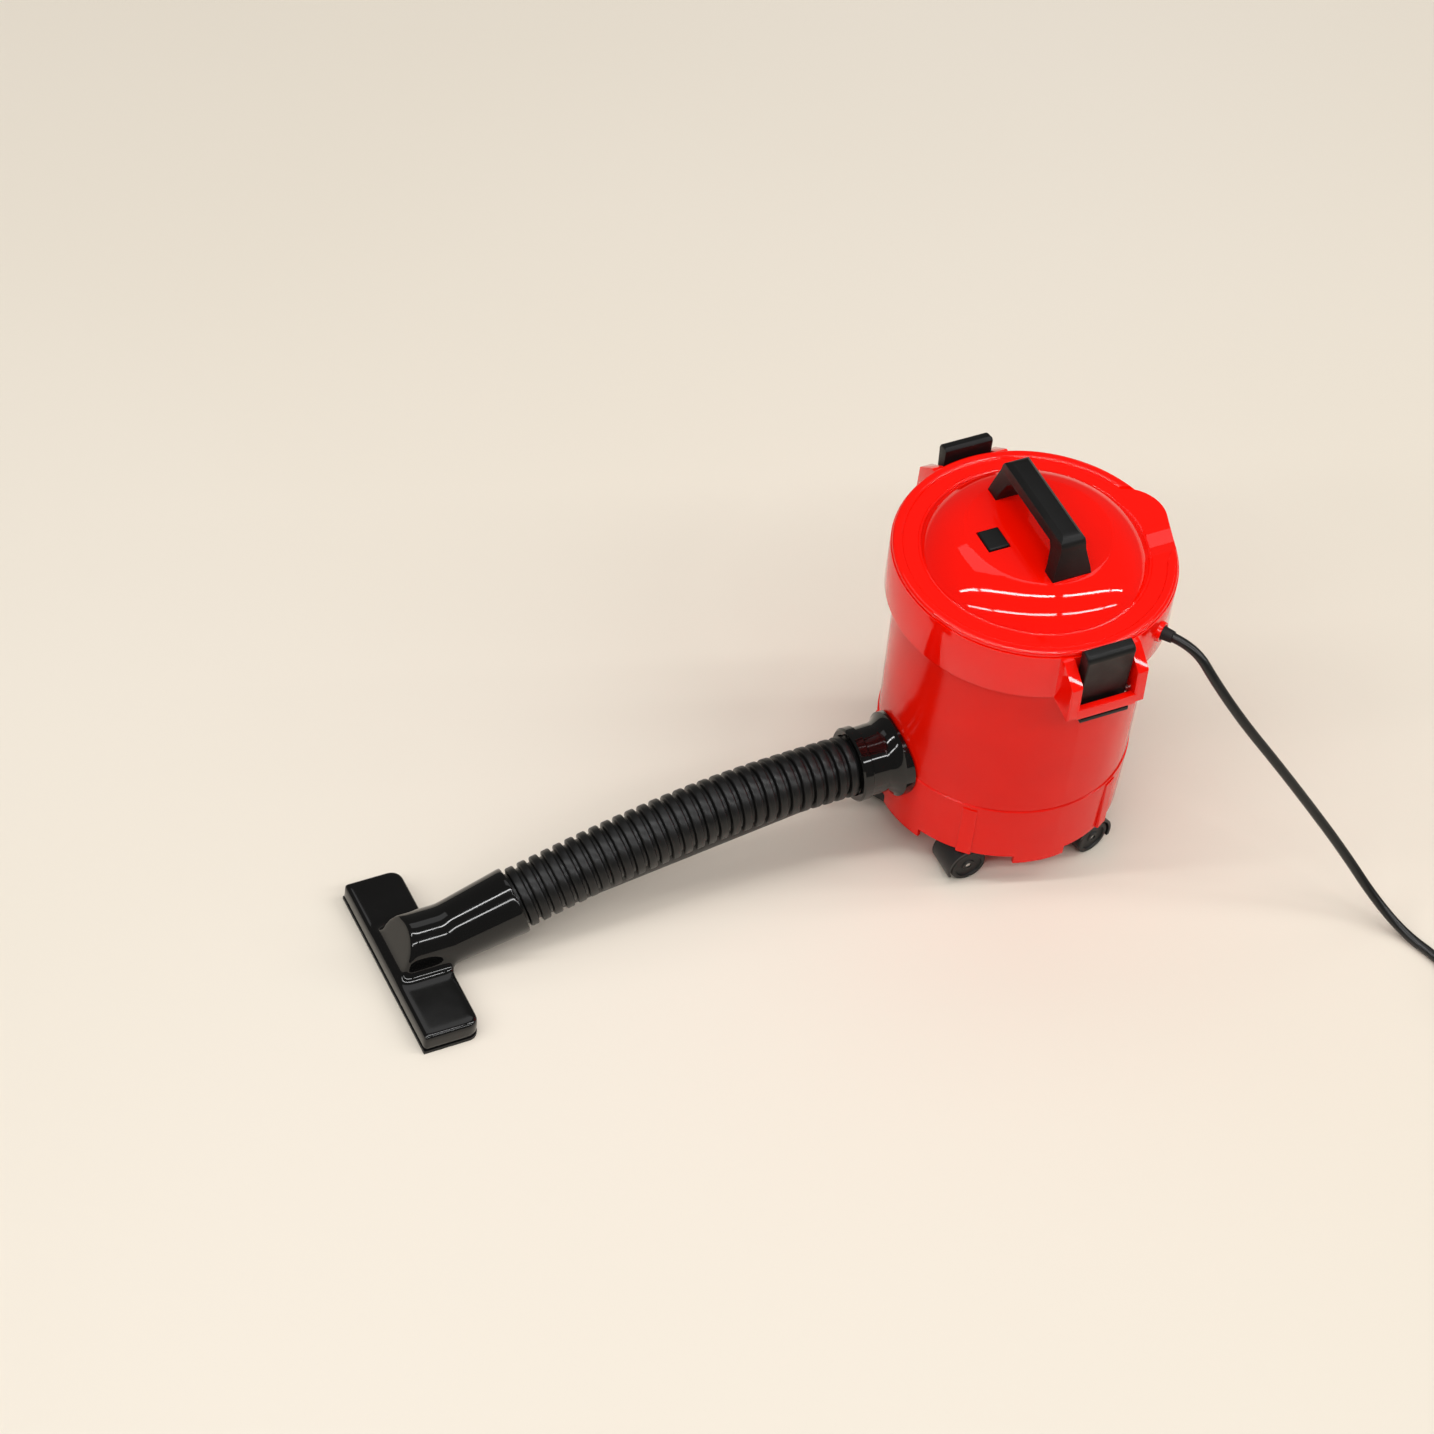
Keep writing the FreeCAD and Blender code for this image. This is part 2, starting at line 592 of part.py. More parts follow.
def lid():
    under = TOP_Z - LID_T
    seat = BAND_TOP_Z + 0.1
    shell = turned(outline(
        (0, TOP_Z), (TOP_R, TOP_Z), ((15.55, 80.97), (15.9, 80.88)),
        ((20.3, 78.85), (23.75, 75.25)), ((24.05, 74.95), (24.45, RING_Z)), (27.5, RING_Z),
        ((27.75, 75.4), (28.2, RIM_Z)), (29.1, RIM_Z), ((29.65, 75.3), (LID_R, 74.9)), (LID_R, seat),
        (28.6, seat), (28.6, 74.0), (24.2, 73.9), (22.8, 74.5), ((19.6, 77.85), (15.9, 79.6)),
        (15.4, under), (0, under),
    ))
    shell = shell.fuse(bulge_top())
    for recess in bulge_recess():
        shell = shell.cut(recess)
    posts = [at_polar(cylinder(1.9, PLATE_Z + PLATE_T + 0.05, 74.3), LID_SCREW_R, az) for az in LID_SCREW_AZ]
    shell = fuse_all([shell] + posts)
    for az in LID_SCREW_AZ:
        shell = shell.cut(at_polar(cylinder(0.82, 60, 74.4), LID_SCREW_R, az))
    shell = shell.cut(switch_block(SWITCH_GAP, 75, 84))
    for x in (-HANDLE_SCREW_X, HANDLE_SCREW_X):
        shell = shell.cut(cylinder(0.9, 75, 84, x))
    return shell.removeSplitter()


def exhaust_grille():
    """Slotted insert in the back of the exhaust bulge."""
    low = GRILLE_Z[0] + 0.05
    high = GRILLE_Z[1] - 0.05
    width = GRILLE_HALF_X - 0.05
    shell = cylinder(BULGE_R - 0.15, low, high, BULGE_X, BULGE_Y)
    shell = shell.cut(cylinder(BULGE_R - 1.1, 60, 80, BULGE_X, BULGE_Y))
    plate = shell.common(block(BULGE_X - width, BULGE_X + width, BULGE_Y, 40, 60, 80))
    for i in range(5):
        x = BULGE_X - 2.8 + 1.4 * i
        plate = plate.cut(block(x - 0.4, x + 0.4, 20, 40, low + 0.5, high - 0.5))
    return plate


def handle():
    z0 = TOP_Z + 0.02
    side = outline(
        (-HANDLE_FOOT_X, z0), (-14.1, 83.6), (-13.2, 88.2), ((-12.4, 90.0), (-10.6, HANDLE_TOP_Z)),
        (10.6, HANDLE_TOP_Z), ((12.4, 90.0), (13.2, 88.2)), (14.1, 83.6), (HANDLE_FOOT_X, z0), (11.0, z0),
        (10.8, 82.9), (9.6, 86.2), (8.5, 87.3), (-8.5, 87.3), (-9.6, 86.2), (-10.8, 82.9), (-11.0, z0),
    )
    front = outline((-4.5, z0), (4.5, z0), (4.2, 82.6), (2.95, 87.4), (2.8, 89.8), (1.8, HANDLE_TOP_Z),
                    (-1.8, HANDLE_TOP_Z), (-2.8, 89.8), (-2.95, 87.4), (-4.2, 82.6))
    cross = slab(front, -20, 20)
    cross.rotate(ORIGIN, Z_AXIS, 90)
    grip = slab(side, -6, 6).common(cross)
    for x in (-HANDLE_SCREW_X, HANDLE_SCREW_X):
        grip = grip.cut(cylinder(0.84, 80, TOP_Z + 3.9, x))
    return grip


def switch_housing():
    case = switch_block(1.0, 75.0, TOP_Z - LID_T)
    return case.cut(switch_block(SWITCH_GAP, 75.8, 80))


def switch_button():
    cap = switch_block(0, 77.0, SWITCH_TOP_Z)
    return soften(cap, 0.5, lambda e: edge_box(e).ZMin > SWITCH_TOP_Z - 0.01 or edge_box(e).ZLength > 3)


# ---- latches ----
def latch_lever():
    side = outline(
        (30.8, 60.0), (34.9, 60.0), (34.9, 60.9), (32.9, 61.0), (33.05, 65.6), (33.7, 75.6),
        ((33.6, 76.9), (32.7, 77.6)), (31.4, 77.9), (30.75, 77.2),
    )
    lever = slab(side, -LEVER_HALF_W, LEVER_HALF_W)
    lever = soften(lever, 0.5, lambda e: edge_box(e).ZMin > 65 and edge_box(e).YLength < 0.1
                   and edge_box(e).XMin > 32.5)
    nose = block(27.45, 31.2, -NOSE_HALF_W, NOSE_HALF_W, 64.3, 65.9)
    lever = fuse_all([lever, nose])
    return lever.cut(Part.makeCylinder(PIN_R + 0.06, 14, V(PIN_X, -7, PIN_Z), V(0, 1, 0)))


def latch_pins():
    pin = Part.makeCylinder(PIN_R, 16.4, V(PIN_X, -8.2, PIN_Z), V(0, 1, 0))
    return Part.makeCompound([pin, turn_z(pin, 180)])


# ---- motor, fan and filter ----
def motor_plate():
    plate = cylinder(PLATE_R, PLATE_Z, PLATE_Z + PLATE_T).cut(cylinder(MOTOR_R + 0.15, 60, 80))
    for i in range(8):
        plate = plate.cut(at_polar(cylinder(1.7, 60, 80), 15.2, 22.5 + 45 * i))
    for az in LID_SCREW_AZ:
        plate = plate.cut(at_polar(cylinder(0.9, 60, 80), LID_SCREW_R, az))
    for az in (0, 180):
        plate = plate.cut(at_polar(cylinder(0.65, 60, 80), MOTOR_SCREW_R, az))
    nose_notch = block(27.0, 31, -3.2, 3.2, 60, 80)
    plate = plate.cut(nose_notch).cut(turn_z(nose_notch, 180))
    return plate.cut(relief_axis(25.5, 33.0, 2.5, 2.5))


def motor_bracket():
    """Clamp ring that holds the motor in the plate, with two screw ears."""
    z0 = PLATE_Z + PLATE_T
    clamp = ring(MOTOR_R + 1.2, MOTOR_R + 0.05, z0, z0 + 2.2)
    ears = block(-13.8, 13.8, -2.2, 2.2, z0, z0 + 1.0).cut(cylinder(MOTOR_R + 0.05, 60, 80))
    clamp = fuse_all([clamp, ears])
    for az in (0, 180):
        clamp = clamp.cut(at_polar(cylinder(0.65, 60, 80), MOTOR_SCREW_R, az))
    return clamp


def motor_can():
    can = turned(outline(
        (SHAFT_R + 0.1, MOTOR_LOW_Z - 0.2), (2.6, MOTOR_LOW_Z - 0.2), (2.6, MOTOR_LOW_Z),
        (MOTOR_R - 0.6, MOTOR_LOW_Z), (MOTOR_R, MOTOR_LOW_Z + 0.6), (MOTOR_R, MOTOR_TOP_Z),
        (SHAFT_R + 0.1, MOTOR_TOP_Z),
    ))
    return can


def motor_endcap():
    cap = cylinder(MOTOR_R - 0.4, MOTOR_TOP_Z, MOTOR_TOP_Z + 1.4)
    tabs = block(-0.8, 0.8, -7.4, -6.9, MOTOR_TOP_Z + 1.2, MOTOR_TOP_Z + 3.0)
    return fuse_all([cap, tabs, turn_z(tabs, 180)])


def impeller():
    hub = ring(3.0, SHAFT_R, FAN_Z, FAN_Z + FAN_H)
    back = ring(FAN_R, SHAFT_R, FAN_Z + FAN_H - 0.9, FAN_Z + FAN_H)
    blade = block(2.6, FAN_R - 0.2, -0.35, 0.35, FAN_Z, FAN_Z + FAN_H - 0.5)
    blade.rotate(V(2.6, 0, 0), Z_AXIS, 18)
    blades = [turn_z(blade, 360.0 / FAN_BLADES * i) for i in range(FAN_BLADES)]
    return fuse_all([hub, back] + blades).common(cylinder(FAN_R, 0, 90))


def fan_housing():
    r = HOUSING_R
    return turned(outline(
        (6.0, HOUSING_LOW_Z), (r, HOUSING_LOW_Z), (r, PLATE_Z - 1.1), (r + 2.0, PLATE_Z - 1.1),
        (r + 2.0, PLATE_Z), (r - DRUM_WALL, PLATE_Z), (r - DRUM_WALL, HOUSING_LOW_Z + 1.0),
        (6.0, HOUSING_LOW_Z + 1.0),
    ))


def filter_cage():
    top = HOUSING_LOW_Z - 0.1
    basket = turned(outline(
        (0, CAGE_LOW_Z), (CAGE_R, CAGE_LOW_Z), (CAGE_R, top - 1.0), (FOAM_R, top - 1.0), (FOAM_R, top),
        (CAGE_R - 1.2, top), (CAGE_R - 1.2, CAGE_LOW_Z + 1.2), (0, CAGE_LOW_Z + 1.2),
    ))
    for i in range(4):
        slot = block(-25, 25, -2.6, 2.6, CAGE_LOW_Z + 2.4, top - 2.4)
        basket = basket.cut(turn_z(slot, 22.5 + 45 * i))
    return basket.cut(cylinder(1.05, 20, 32))


def filter_foam():
    return ring(FOAM_R - 0.2, CAGE_R + 0.05, CAGE_LOW_Z + 0.1, HOUSING_LOW_Z - 1.3)


def filter_retainer():
    """Cap with a stud that holds the foam on its cage."""
    cap = turned(outline(
        (0, CAGE_LOW_Z - 1.4), (FOAM_R - 1.2, CAGE_LOW_Z - 1.4),
        ((FOAM_R - 0.6, CAGE_LOW_Z - 1.1), (FOAM_R - 0.5, CAGE_LOW_Z - 0.1)), (0, CAGE_LOW_Z - 0.1)))
    return fuse_all([cap, cylinder(1.0, CAGE_LOW_Z - 0.5, CAGE_LOW_Z + 2.6)])


def lead_wires():
    start = polar(27.6, CORD_AZ, CORD_EXIT_Z)
    to_switch = tube_along([
        start.add(V(0.3, -0.4, 0.6)), V(18.5, 10.5, 72.6), V(12.5, 0.5, 74.4), V(8.6, -6.0, 76.2),
        V(3.3, -9.9, 76.8)], LEAD_R)
    to_motor = tube_along([
        start.add(V(-0.5, 0.5, 0.6)), V(16.5, 14.0, 72.0), V(8.5, 14.2, 73.4), V(2.6, 11.6, 73.9),
        V(0.6, 8.1, 73.6)], LEAD_R)
    return Part.makeCompound([to_switch, to_motor])


# ---- USB cord (root: it stays on the desk) ----
def cord_strain_relief():
    sleeve = relief_axis(28.2, RELIEF_END_R, 1.7, 1.3)
    return sleeve.cut(relief_axis(26.0, RELIEF_END_R - 1.0, 0.9, 0.9))


def cord_coil():
    z_top = 2 * CORD_R * COIL_LAYERS
    r_in = COIL_R_IN - CORD_R
    r_out = COIL_R_OUT + CORD_R
    wreath = ring(r_out, r_in, 0, z_top)
    wreath = soften(wreath, 0.9, lambda e: edge_box(e).XLength > 5)
    wreath.translate(V(COIL_X, COIL_Y, 0))
    return wreath


def along_plug(shape):
    """Move a plug piece from its own frame, cord entering at the origin along +X, to its place."""
    copy = turn_z(shape, PLUG_AZ)
    copy.translate(TAIL_ROUTE[-1])
    return copy


def plug_body():
    length, width, height = PLUG_BODY
    body = block(PLUG_RELIEF - 0.5, PLUG_RELIEF + length, -width / 2, width / 2, -height / 2, height / 2)
    body = soften(body, 1.6, lambda e: edge_box(e).XLength > 5)
    relief = Part.makeCone(CORD_R + 0.35, 2.6, PLUG_RELIEF, ORIGIN, V(1, 0, 0))
    return along_plug(body.fuse(relief).removeSplitter())


def plug_shell():
    length, width, height = PLUG_SHELL
    x0 = PLUG_RELIEF + PLUG_BODY[0]
    shell = block(x0, x0 + length, -width / 2, width / 2, -height / 2, height / 2)
    hollow = block(x0 - 1, x0 + length + 1, -width / 2 + 0.35, width / 2 - 0.35,
                   -height / 2 + 0.35, height / 2 - 0.35)
    shell = shell.cut(hollow)
    for side in (-1, 1):
        shell = shell.cut(block(x0 + 4.6, x0 + 7.0, side * 2.9 - 1.2, side * 2.9 + 1.2, 0, 4))
    return along_plug(shell)


def plug_tongue():
    length, width, height = PLUG_SHELL
    x0 = PLUG_RELIEF + PLUG_BODY[0]
    return along_plug(block(x0, x0 + length - 0.4, -width / 2 + 0.4, width / 2 - 0.4,
                            -height / 2 + 0.4, -0.2))


def main():
    save("tank_shell", drum())
    save("base_ring", base_ring())
    save("base_screws", screws_at([polar(BASE_SCREW_R, az, DECK_Z) for az in BASE_SCREW_AZ],
                                  0.9, 2.0, 0.9, 6.4))
    hood, axle, rollers = caster_hood(), caster_axle(), caster_rollers()
    for i in range(CASTER_COUNT):
        save("caster_hood_%d" % (i + 1), place_caster(hood, i))
        save("caster_axle_%d" % (i + 1), place_caster(axle, i))
        save("caster_rollers_%d" % (i + 1), place_caster(rollers, i))

    save("hose_collar", hose_collar())
    save("hose_tube", hose_tube())
    save("nozzle_body", nozzle_body())
    save("nozzle_sole", nozzle_sole())

    save("head_band", head_band())
    save("lid", lid())
    save("exhaust_grille", exhaust_grille())
    save("handle", handle())
    save("handle_screws", screws_at([V(x, 0, TOP_Z - LID_T) for x in (-HANDLE_SCREW_X, HANDLE_SCREW_X)],
                                    0.8, 1.5, 0.9, 4.6))
    save("lid_screws", screws_at([polar(LID_SCREW_R, az, PLATE_Z) for az in LID_SCREW_AZ],
                                 0.78, 1.5, 0.9, 7.4))
    save("switch_housing", switch_housing())
    save("switch_button", switch_button())

    lever = latch_lever()
    save("latch_lever_right", lever)
    save("latch_lever_left", turn_z(lever, 180))
    save("latch_pins", latch_pins())

    save("motor_plate", motor_plate())
    save("plate_gasket", ring(27.5, 26.3, PLATE_Z - 0.6, PLATE_Z))
    save("motor_bracket", motor_bracket())
    bracket_top = PLATE_Z + PLATE_T + 1.0
    motor_screws = screws_at([V(0, 0, 0)], 0.6, 1.1, 0.7, 2.0)
    motor_screws.rotate(ORIGIN, V(1, 0, 0), 180)
    pair = []
    for az in (0, 180):
        one = at_polar(motor_screws, MOTOR_SCREW_R, az)
        one.translate(V(0, 0, bracket_top))
        pair.append(one)
    save("motor_screws", Part.makeCompound(pair))
    save("motor_can", motor_can())
    save("motor_endcap", motor_endcap())
    save("motor_shaft", cylinder(SHAFT_R, FAN_Z - 1.2, MOTOR_TOP_Z - 0.2))
    save("impeller", impeller())
    save("fan_housing", fan_housing())
    save("filter_cage", filter_cage())
    save("filter_foam", filter_foam())
    save("filter_retainer", filter_retainer())
    save("lead_wires", lead_wires())

    save("cord_strain_relief", cord_strain_relief())
    save("usb_cord", tube_along(CORD_ROUTE, CORD_R, "usb cord"))
    save("usb_cord_coil", cord_coil())
    save("usb_cord_tail", tube_along(TAIL_ROUTE, CORD_R, "usb cord tail"))
    save("usb_plug_body", plug_body())
    save("usb_plug_shell", plug_shell())
    save("usb_plug_tongue", plug_tongue())


main()
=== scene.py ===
"""Miniature desktop drum vacuum cleaner: the looks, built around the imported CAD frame."""
import json
import math

import bmesh
import bpy
from mathutils import Matrix, Vector

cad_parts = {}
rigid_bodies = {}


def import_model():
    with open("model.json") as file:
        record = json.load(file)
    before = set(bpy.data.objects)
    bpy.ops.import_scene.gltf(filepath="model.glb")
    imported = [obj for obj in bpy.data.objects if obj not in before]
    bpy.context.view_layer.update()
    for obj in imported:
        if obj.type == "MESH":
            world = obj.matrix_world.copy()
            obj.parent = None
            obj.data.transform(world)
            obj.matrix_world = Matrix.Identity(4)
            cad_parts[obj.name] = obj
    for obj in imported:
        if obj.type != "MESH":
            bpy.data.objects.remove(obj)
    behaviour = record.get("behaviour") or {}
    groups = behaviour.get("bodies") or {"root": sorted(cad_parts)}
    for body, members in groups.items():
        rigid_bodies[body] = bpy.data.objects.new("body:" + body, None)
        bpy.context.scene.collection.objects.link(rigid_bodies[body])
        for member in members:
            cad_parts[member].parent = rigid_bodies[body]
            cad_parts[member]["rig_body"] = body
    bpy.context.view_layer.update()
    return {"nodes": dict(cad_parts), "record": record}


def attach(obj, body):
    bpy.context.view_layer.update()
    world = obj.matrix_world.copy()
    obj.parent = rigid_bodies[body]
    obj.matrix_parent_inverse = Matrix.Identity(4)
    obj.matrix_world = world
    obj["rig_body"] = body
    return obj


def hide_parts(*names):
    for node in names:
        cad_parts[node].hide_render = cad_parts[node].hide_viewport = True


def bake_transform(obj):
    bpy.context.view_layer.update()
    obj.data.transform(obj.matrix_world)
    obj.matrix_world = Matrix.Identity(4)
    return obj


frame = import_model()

MM = 0.001
scene = bpy.context.scene

# ---- camera ----
CAM_AZIMUTH = 60.0            # degrees; 0 looks along +Y
CAM_ELEVATION = 46.81
CAM_ROLL = 7.03
CAM_PLACE = (0.5644, -0.3965, 0.7453)
CAM_LENS = 116.3              # millimetres
CAM_SENSOR = 36.0
CAM_CLIP = (0.05, 20.0)

# ---- lamps (metres, watts) ----
WORLD_COLOUR = (1.0, 0.96, 0.90)
WORLD_STRENGTH = 0.15
LAMP_TARGET = (0, 0, 0.05)
LAMP_DISTANCE = 1.1
LAMP_LENGTH = 1.0
LAMP_GAP = 0.10
LAMP_TURN = 14.0              # degrees that the rows are turned from square to the camera
# for each row: elevation, lamp width, lamp power, first lamp's shift, number of lamps
LAMP_ROWS = (
    (84.0, 0.065, 4.6, -1.33, 4),
    (51.0, 0.065, 3.5, -1.20, 4),
    (118.0, 0.40, 1.1, -0.10, 1),
)


def direction(azimuth, elevation):
    """Unit vector from the object towards a viewer or a lamp."""
    a, e = math.radians(azimuth), math.radians(elevation)
    return Vector((math.sin(a) * math.cos(e), -math.cos(a) * math.cos(e), math.sin(e)))


def make_camera():
    data = bpy.data.cameras.new("camera")
    data.lens = CAM_LENS
    data.sensor_width = CAM_SENSOR
    data.clip_start, data.clip_end = CAM_CLIP
    camera = bpy.data.objects.new("camera", data)
    scene.collection.objects.link(camera)
    back = direction(CAM_AZIMUTH, CAM_ELEVATION)
    level = Vector((0, 0, 1)).cross(back).normalized()
    upright = back.cross(level)
    roll = math.radians(CAM_ROLL)
    right = level * math.cos(roll) + upright * math.sin(roll)
    up = back.cross(right)
    turn = Matrix((right, up, back)).transposed().to_4x4()
    camera.matrix_world = Matrix.Translation(CAM_PLACE) @ turn
    scene.camera = camera


# ---- cords' routes (metres) ----
HOSE_ROUTE = [
    (0, -0.0314, 0.0234), (0, -0.051, 0.0234), (0, -0.070, 0.0220), (0.0001, -0.088, 0.0186),
    (0.0002, -0.104, 0.0144), (0.0003, -0.1185, 0.0102),
]
CORD_ROUTE = [
    (0.027648, 0.018649, 0.0695), (0.031959, 0.021557, 0.0695), (0.0366, 0.0250, 0.0626),
    (0.0414, 0.0308, 0.0530), (0.0457, 0.0383, 0.0423), (0.0500, 0.0462, 0.0305),
    (0.0550, 0.0546, 0.0175), (0.0612, 0.0609, 0.0065), (0.0690, 0.0653, 0.0011),
    (0.0775, 0.0686, 0.0011), (0.0880, 0.0707, 0.0011),
]
TAIL_ROUTE = [
    (0.0920, 0.1006, 0.0074), (0.0860, 0.1018, 0.0054), (0.0805, 0.10265, 0.0039),
    (0.07573, 0.10349, 0.0038),
]
CORD_R = 0.0011
COIL_CENTRE = (0.096, 0.086)
COIL_R_OUT = 0.0137
COIL_LAYERS = 4
COIL_START_AZ = -80.0
COIL_END_AZ = 80.0
COIL_FULL_TURNS = 8
COIL_POINTS = 16              # for each turn
COIL_STEP = 0.08              # share of a layer in which the cord climbs half a layer


def coil_points():
    """Turns that spiral in and out, layer upon layer, a diameter apart."""
    total = 360 * COIL_FULL_TURNS + COIL_END_AZ - COIL_START_AZ
    layer_span = total / COIL_LAYERS
    count = round(total * COIL_POINTS / 360)
    shrink = (3 + math.cos(math.tau / COIL_POINTS)) / 4
    points = []
    for i in range(count + 1):
        turned = total * i / count
        layer = min(int(turned / layer_span), COIL_LAYERS - 1)
        along = turned / layer_span - layer
        inward = along if layer % 2 == 0 else 1 - along
        radius = COIL_R_OUT - 2 * CORD_R * inward * layer_span / 360
        level = layer
        if layer and along < COIL_STEP:
            level = layer - 0.5 + along / (2 * COIL_STEP)
        if layer < COIL_LAYERS - 1 and along > 1 - COIL_STEP:
            level = layer + (along - (1 - COIL_STEP)) / (2 * COIL_STEP)
        angle = math.radians(COIL_START_AZ + turned)
        points.append((
            COIL_CENTRE[0] + radius / shrink * math.cos(angle),
            COIL_CENTRE[1] + radius / shrink * math.sin(angle),
            CORD_R * (1 + 2 * level),
        ))
    return points


def spline_points(name, route, resolution=12):
    """Points along the smooth NURBS curve that has the route as its control points."""
    data = bpy.data.curves.new(name, "CURVE")
    data.dimensions = "3D"
    data.resolution_u = resolution
    spline = data.splines.new("NURBS")
    spline.points.add(len(route) - 1)
    for point, place in zip(spline.points, route):
        point.co = (*place, 1)
    spline.order_u = 3
    spline.use_endpoint_u = True
    curve = bpy.data.objects.new(name, data)
    scene.collection.objects.link(curve)
    depsgraph = bpy.context.evaluated_depsgraph_get()
    mesh = bpy.data.meshes.new_from_object(curve.evaluated_get(depsgraph))
    points = [v.co.copy() for v in mesh.vertices]
    bpy.data.objects.remove(curve)
    bpy.data.meshes.remove(mesh)
    return points


# ---- mesh tools ----
WELD_GAP = 0.004              # mm
FLAT_ANGLE = 0.5              # degrees


def piece(name, mesh, body=None, replaces=(), material=None):
    """Object with its material, body and slot, and the CAD nodes that it stands for."""
    obj = bpy.data.objects.new(name, mesh)
    scene.collection.objects.link(obj)
    if material:
        mesh.materials.clear()
        mesh.materials.append(material)
    if body:
        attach(obj, body)
    if replaces:
        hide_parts(*replaces)
    return obj


def smooth(mesh, angle=35.0):
    """Smooth shading, but for edges sharper than the angle."""
    mesh.shade_smooth()
    mesh.set_sharp_from_angle(angle=math.radians(angle))


def from_bmesh(name, bm):
    """Mesh with its faces turned outwards."""
    bmesh.ops.recalc_face_normals(bm, faces=bm.faces)
    mesh = bpy.data.meshes.new(name)
    bm.to_mesh(mesh)
    bm.free()
    return mesh


def distances(points):
    """Length along a polyline at each of its points."""
    out = [0.0]
    for a, b in zip(points, points[1:]):
        out.append(out[-1] + (b - a).length)
    return out


def frames_along(points):
    """(point, side, up) at each point, without twist."""
    side = None
    out = []
    for i, here in enumerate(points):
        ahead = points[min(i + 1, len(points) - 1)] - points[max(i - 1, 0)]
        ahead.normalize()
        if side is None:
            side = ahead.orthogonal().normalized()
        side = (side - ahead * side.dot(ahead)).normalized()
        out.append((here, side, ahead.cross(side)))
    return out


def resample(points, stations):
    """Points at the given distances along a polyline."""
    lengths = distances(points)
    out = []
    i = 0
    for s in stations:
        while i < len(lengths) - 2 and lengths[i + 1] < s:
            i += 1
        t = (s - lengths[i]) / (lengths[i + 1] - lengths[i])
        out.append(points[i].lerp(points[i + 1], t))
    return out


def tube_mesh(name, points, section, radii, bore=None):
    """Skin along points.  section lists (radius factor, angle); radii gives each ring's radius."""
    bm = bmesh.new()
    rings = []
    for i, (here, side, up) in enumerate(frames_along(points)):
        rings.append([
            bm.verts.new(here + (side * math.cos(a) + up * math.sin(a)) * (f * radii[i]))
            for f, a in section
        ])
    if bore:
        frames = frames_along(points)
        for here, side, up in (frames[-1], frames[0]):
            rings.append([
                bm.verts.new(here + (side * math.cos(a) + up * math.sin(a)) * bore)
                for _, a in section
            ])
        rings.append(rings[0])
    for lower, upper in zip(rings, rings[1:]):
        for j in range(len(lower)):
            k = (j + 1) % len(lower)
            bm.faces.new((lower[j], lower[k], upper[k], upper[j]))
    if not bore:
        bm.faces.new(rings[0])
        bm.faces.new(rings[-1])
    return from_bmesh(name, bm)


def circle_section(count):
    return [(1.0, math.tau * k / count) for k in range(count)]


def cad_copy(node):
    """Welded copy of a CAD node's mesh, with its flat faces made whole."""
    bm = bmesh.new()
    bm.from_mesh(frame["nodes"][node].data)
    bmesh.ops.remove_doubles(bm, verts=bm.verts, dist=WELD_GAP * MM)
    flat = math.radians(FLAT_ANGLE)
    bmesh.ops.dissolve_limit(bm, angle_limit=flat, verts=bm.verts, edges=bm.edges)
    return from_bmesh(node + "_copy", bm)


def applied(obj):
    """The object's mesh with its modifiers applied."""
    depsgraph = bpy.context.evaluated_depsgraph_get()
    mesh = bpy.data.meshes.new_from_object(obj.evaluated_get(depsgraph))
    bpy.data.objects.remove(obj)
    return mesh


def bevelled(node, width, segments=3, angle=30.0):
    """Copy of a CAD node with its sharp edges rounded."""
    obj = bpy.data.objects.new(node + "_work", cad_copy(node))
    scene.collection.objects.link(obj)
    bevel = obj.modifiers.new("bevel", "BEVEL")
    bevel.width = width * MM
    bevel.segments = segments
    bevel.limit_method = "ANGLE"
    bevel.angle_limit = math.radians(angle)
    bevel.miter_outer = "MITER_ARC"
    mesh = applied(obj)
    smooth(mesh, 40)
    return mesh


def moulded(node, voxel, passes, fill):
    """Copy of a CAD node as a moulding has it: inner corners filled, all edges blended."""
    obj = bpy.data.objects.new(node + "_work", cad_copy(node))
    scene.collection.objects.link(obj)
    for step, shift in enumerate((fill, -fill, 0.0)):
        remesh = obj.modifiers.new("remesh_%d" % step, "REMESH")
        remesh.mode = "VOXEL"
        remesh.voxel_size = voxel * MM
        if shift:
            move = obj.modifiers.new("move_%d" % step, "DISPLACE")
            move.mid_level = 0.0
            move.strength = shift * MM
    soften = obj.modifiers.new("soften", "SMOOTH")
    soften.factor = 0.5
    soften.iterations = passes
    mesh = applied(obj)
    mesh.shade_smooth()
    return mesh


# ---- materials ----
DRIFT_WAVES = 45              # waves a metre
GLOSS_WAVES = 260
MOULDING_WAVES = 60
GRAIN_STRENGTH = 0.25
MOULDING_STRENGTH = 0.3


def nodes_of(name):
    material = bpy.data.materials.new(name)
    material.use_nodes = True
    tree = material.node_tree
    return material, tree, tree.nodes["Principled BSDF"]


def noise(tree, scale, detail=4.0, stretch=(1, 1, 1)):
    """Noise in the row frame's coordinates; scale is waves a metre."""
    place = tree.nodes.new("ShaderNodeTexCoord")
    mapping = tree.nodes.new("ShaderNodeMapping")
    mapping.inputs["Scale"].default_value = stretch
    texture = tree.nodes.new("ShaderNodeTexNoise")
    texture.inputs["Scale"].default_value = scale
    texture.inputs["Detail"].default_value = detail
    tree.links.new(place.outputs["Object"], mapping.inputs["Vector"])
    tree.links.new(mapping.outputs["Vector"], texture.inputs["Vector"])
    return texture.outputs["Fac"]


